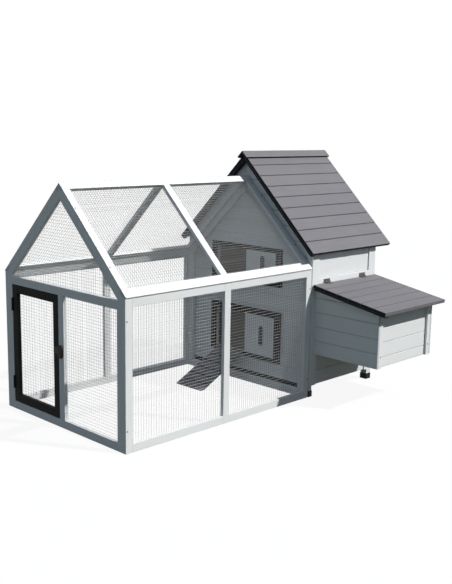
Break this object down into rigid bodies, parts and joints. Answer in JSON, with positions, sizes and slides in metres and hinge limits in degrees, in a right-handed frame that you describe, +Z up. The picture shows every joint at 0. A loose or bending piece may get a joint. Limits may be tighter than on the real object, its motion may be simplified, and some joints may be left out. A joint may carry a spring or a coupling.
{
  "type": "chicken coop with run",
  "caption": "Timber chicken coop: a gabled wire mesh run with a hinged door, joined to a boarded hen house with sliding pop doors, a ramp and a lidded nest box.",
  "frame": {"origin": "on the ground, in the middle of the whole object's box", "axes": "+X along the length, from the run's front gable to the house; -Y towards the nest box; +Z up"},
  "size_m": [2.2456, 1.68, 1.5076],
  "materials": {
    "white_timber": "painted, satin",
    "wall_timber": "painted, satin",
    "roof_timber": "painted, matt",
    "black_timber": "painted, satin",
    "plain_timber": "planed",
    "mesh_wire": "galvanised wire",
    "black_plastic": "moulded",
    "black_steel": "powder coated",
    "zinc_steel": "zinc plated"
  },
  "bodies": {
    "coop": {"run_front_frame": "white_timber", "run_rear_frame": "white_timber", "run_near_frame": "white_timber", "run_far_frame": "white_timber", "run_near_roof_frame": "white_timber", "run_far_roof_frame": "white_timber", "house_posts": "white_timber", "house_rails": "white_timber", "joining_strips": "white_timber", "nest_posts": "white_timber", "house_front_boards": "wall_timber", "house_back_boards": "wall_timber", "house_near_boards": "wall_timber", "house_far_boards": "wall_timber", "nest_boards": "wall_timber", "roof_near_boards": "roof_timber", "roof_far_boards": "roof_timber", "roof_ridge_caps": "roof_timber", "roof_battens": "roof_timber", "lower_door_frame": "black_timber", "upper_door_frame": "black_timber", "door_tracks": "black_timber", "house_skirt": "black_timber", "house_floor": "plain_timber", "house_rafters": "plain_timber", "perches": "plain_timber", "nest_floor": "plain_timber", "nest_divider": "plain_timber", "run_front_mesh": "mesh_wire", "run_gable_mesh": "mesh_wire", "run_near_mesh_front": "mesh_wire", "run_near_mesh_rear": "mesh_wire", "run_far_mesh_front": "mesh_wire", "run_far_mesh_rear": "mesh_wire", "run_near_roof_mesh_front": "mesh_wire", "run_near_roof_mesh_rear": "mesh_wire", "run_far_roof_mesh_front": "mesh_wire", "run_far_roof_mesh_rear": "mesh_wire", "foot_caps": "black_plastic", "door_hinge_post_leaves": "black_steel", "latch_base": "black_steel", "lid_hinge_wall_leaves": "zinc_steel", "ramp_hinge_sill_leaves": "zinc_steel", "hinge_pins": "zinc_steel", "frame_screws": "zinc_steel"},
    "run_door": {"run_door_frame": "black_timber", "run_door_mesh": "mesh_wire", "door_hinge_door_leaves": "black_steel", "latch_keeper": "black_steel"},
    "latch": {"latch_button": "black_plastic"},
    "lower_door": {"lower_door_panel": "wall_timber", "lower_door_pull": "black_plastic"},
    "upper_door": {"upper_door_panel": "wall_timber", "upper_door_pull": "black_plastic"},
    "nest_lid": {"lid_boards": "roof_timber", "lid_battens": "roof_timber", "lid_hinge_lid_leaves": "zinc_steel"},
    "ramp": {"ramp_board": "roof_timber", "ramp_cleats": "roof_timber", "ramp_hinge_ramp_leaves": "zinc_steel"}
  },
  "joints": [
    {"name": "run_door_hinge", "type": "hinge", "parent": "coop", "child": "run_door", "pos_m": [-1.1107, 0.731, 0.39582], "axis": [0, 0, -1], "range_deg": [0, 105]},
    {"name": "latch_turn", "type": "hinge", "parent": "coop", "child": "latch", "pos_m": [-1.1105, 0.255, 0.435], "axis": [1, 0, 0], "range_deg": [0, 90]},
    {"name": "lower_door_slide", "type": "slide", "parent": "coop", "child": "lower_door", "axis": [0, 1, 0], "range_m": [0, 0.2705]},
    {"name": "upper_door_slide", "type": "slide", "parent": "coop", "child": "upper_door", "axis": [0, 1, 0], "range_m": [0, 0.2705]},
    {"name": "nest_lid_hinge", "type": "hinge", "parent": "coop", "child": "nest_lid", "pos_m": [0.6768, -0.3036, 0.71887], "axis": [-1, 0, 0], "range_deg": [0, 80]},
    {"name": "ramp_hinge", "type": "hinge", "parent": "coop", "child": "ramp", "pos_m": [0.3292, 0.3605, 0.20485], "axis": [0, 1, 0], "range_deg": [0, 85]}
  ]
}
